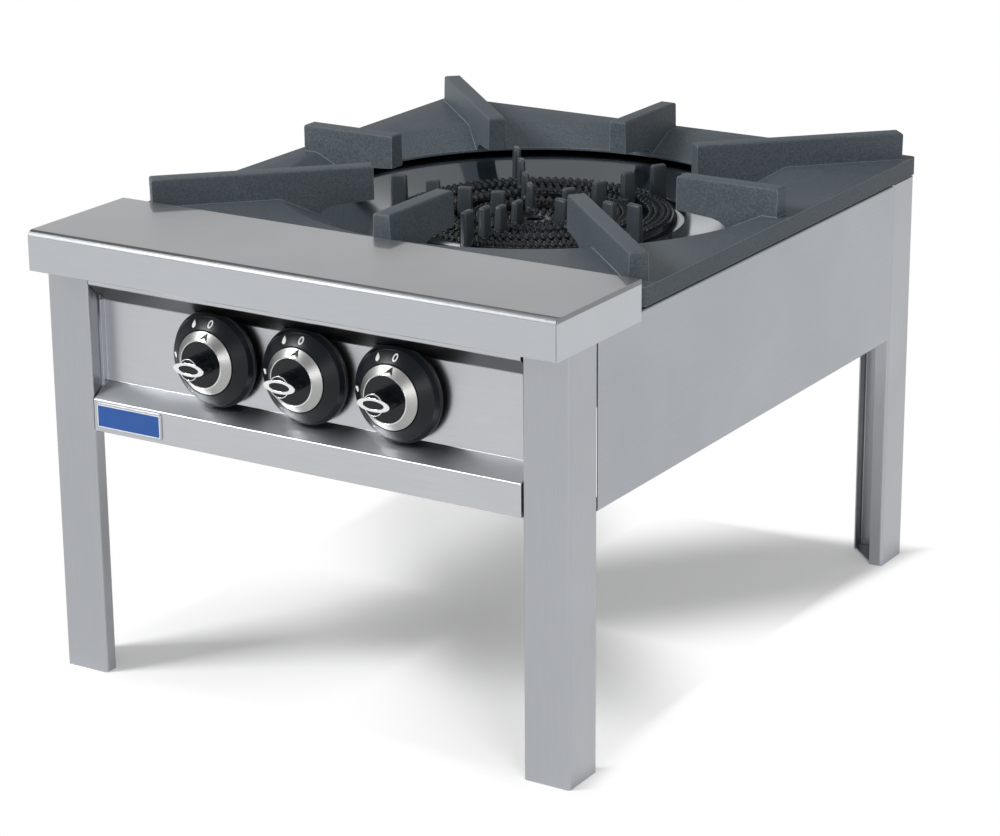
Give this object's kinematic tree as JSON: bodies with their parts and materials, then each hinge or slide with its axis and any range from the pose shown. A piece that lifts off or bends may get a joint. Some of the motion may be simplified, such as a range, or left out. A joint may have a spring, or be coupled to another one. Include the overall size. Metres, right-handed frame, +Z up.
{
  "type": "floor gas burner",
  "caption": "Low steel stove on four legs with a square cast pan support over a ring gas burner, push-and-turn control knobs and a work ledge in front.",
  "frame": {"origin": "on the floor, under the centre of the overall box", "axes": "+X to the user's right, +Y from the knobs to the back, +Z up"},
  "size_m": [0.6, 0.78, 0.481],
  "materials": {
    "legs": "satin",
    "ledge": "polished satin",
    "panel": "satin",
    "side": "satin",
    "inner_steel": "mill",
    "screws": "zinc plated",
    "tray": "polished",
    "burner": "black enamelled",
    "tube_iron": "as cast",
    "brass": "machined",
    "pipe_steel": "zinc plated",
    "copper": "drawn copper",
    "dial": "satin",
    "knob": "semi gloss",
    "knob_ring": "spun",
    "chrome": "bright",
    "grate": "matt enamelled"
  },
  "bodies": {
    "frame": {"leg_front_left": "legs", "leg_front_right": "legs", "leg_rear_left": "legs", "leg_rear_right": "legs", "foot_plates": "legs", "ledge": "ledge", "control_panel": "panel", "side_panel_left": "side", "side_panel_right": "side", "rear_panel": "side", "front_rail": "inner_steel", "panel_screws": "screws", "spill_tray": "tray", "burner_bars": "inner_steel", "burner_bolts": "screws", "outer_burner_ring": "burner", "middle_burner_ring": "burner", "inner_burner_ring": "burner", "mixing_tube_outer": "tube_iron", "mixing_tube_inner": "tube_iron", "mixing_tube_middle": "tube_iron", "injector_outer": "brass", "injector_inner": "brass", "injector_middle": "brass", "manifold": "pipe_steel", "manifold_brackets": "inner_steel", "supply_pipe": "pipe_steel", "inlet_connector": "brass", "gas_valve_left": "brass", "gas_valve_centre": "brass", "gas_valve_right": "brass", "feed_tube_left": "copper", "feed_tube_centre": "copper", "feed_tube_right": "copper", "pilot_burner": "brass", "pilot_bracket": "inner_steel", "pilot_tube": "copper", "thermocouple": "copper", "dial_left": "dial", "dial_centre": "dial", "dial_right": "dial"},
    "plug_left": {"valve_plug_left": "brass"},
    "knob_left": {"spindle_left": "brass", "knob_left": "knob", "knob_ring_left": "knob_ring", "knob_trim_left": "chrome"},
    "plug_centre": {"valve_plug_centre": "brass"},
    "knob_centre": {"spindle_centre": "brass", "knob_centre": "knob", "knob_ring_centre": "knob_ring", "knob_trim_centre": "chrome"},
    "plug_right": {"valve_plug_right": "brass"},
    "knob_right": {"spindle_right": "brass", "knob_right": "knob", "knob_ring_right": "knob_ring", "knob_trim_right": "chrome"},
    "shutter_outer": {"air_shutter_outer": "inner_steel"},
    "shutter_inner": {"air_shutter_inner": "inner_steel"},
    "shutter_middle": {"air_shutter_middle": "inner_steel"},
    "grate": {"pan_support": "grate"}
  },
  "joints": [
    {"name": "knob_turn_left", "type": "hinge", "parent": "frame", "child": "plug_left", "pos_m": [-0.106, -0.3393, 0.3533], "axis": [0, -1, 0], "range_deg": [0, 147]},
    {"name": "knob_push_left", "type": "slide", "parent": "plug_left", "child": "knob_left", "axis": [0, 1, 0], "range_m": [0, 0.004], "stiffness_N_per_m": 1200, "springref_m": -0.002},
    {"name": "knob_turn_centre", "type": "hinge", "parent": "frame", "child": "plug_centre", "pos_m": [0, -0.3393, 0.3533], "axis": [0, -1, 0], "range_deg": [0, 147]},
    {"name": "knob_push_centre", "type": "slide", "parent": "plug_centre", "child": "knob_centre", "axis": [0, 1, 0], "range_m": [0, 0.004], "stiffness_N_per_m": 1200, "springref_m": -0.002},
    {"name": "knob_turn_right", "type": "hinge", "parent": "frame", "child": "plug_right", "pos_m": [0.106, -0.3393, 0.3533], "axis": [0, -1, 0], "range_deg": [0, 147]},
    {"name": "knob_push_right", "type": "slide", "parent": "plug_right", "child": "knob_right", "axis": [0, 1, 0], "range_m": [0, 0.004], "stiffness_N_per_m": 1200, "springref_m": -0.002},
    {"name": "shutter_slide_outer", "type": "slide", "parent": "frame", "child": "shutter_outer", "axis": [0, 1, 0], "range_m": [0, 0.01]},
    {"name": "shutter_slide_inner", "type": "slide", "parent": "frame", "child": "shutter_inner", "axis": [0, 1, 0], "range_m": [0, 0.01]},
    {"name": "shutter_slide_middle", "type": "slide", "parent": "frame", "child": "shutter_middle", "axis": [0, 1, 0], "range_m": [0, 0.01]},
    {"name": "grate_lift", "type": "slide", "parent": "frame", "child": "grate", "axis": [0, 0, 1], "range_m": [0, 0.08]}
  ]
}
